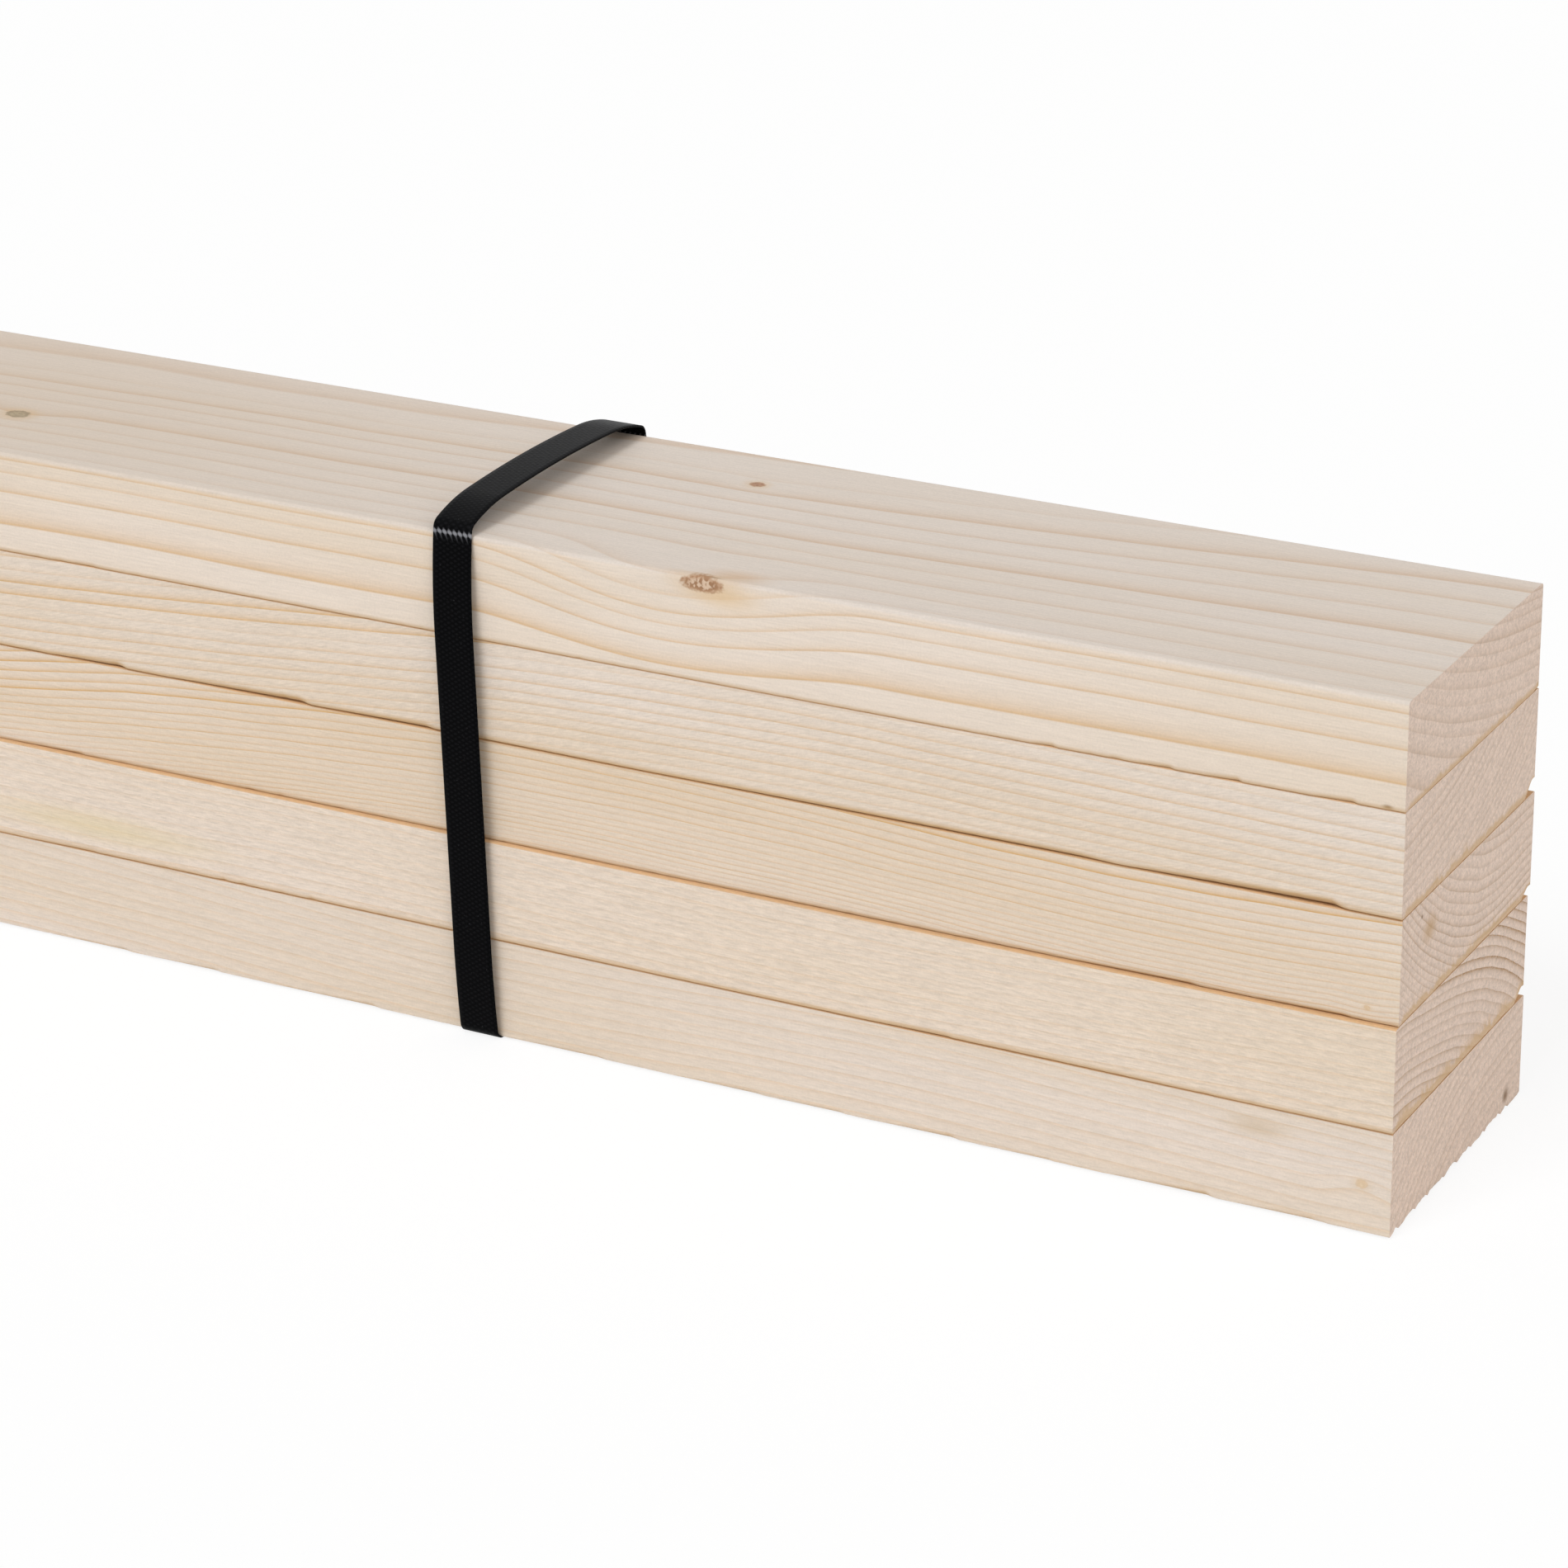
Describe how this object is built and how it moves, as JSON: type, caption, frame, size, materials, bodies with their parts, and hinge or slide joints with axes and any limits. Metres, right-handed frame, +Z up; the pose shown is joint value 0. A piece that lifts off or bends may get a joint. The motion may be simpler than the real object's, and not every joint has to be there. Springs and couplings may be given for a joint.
{
  "type": "bundle of pine studs",
  "caption": "Planed pine studs with rounded arrises, piled flat in one column and held near both ends by black plastic straps that arch over the top stud.",
  "frame": {"origin": "on the floor, under the middle of the pile", "axes": "+X along the studs towards the end that the picture shows, +Y across their width towards the back, +Z up"},
  "size_m": [2.4, 0.129, 0.2003],
  "materials": {
    "planed_pine": "planed, bare, with sawn ends",
    "strap_plastic": "extruded polyester band, black, finely embossed, satin"
  },
  "bodies": {
    "root": {"stud_1": "planed_pine", "stud_2": "planed_pine", "stud_3": "planed_pine", "stud_4": "planed_pine", "stud_5": "planed_pine", "strap_left": "strap_plastic", "strap_right": "strap_plastic"}
  },
  "joints": []
}
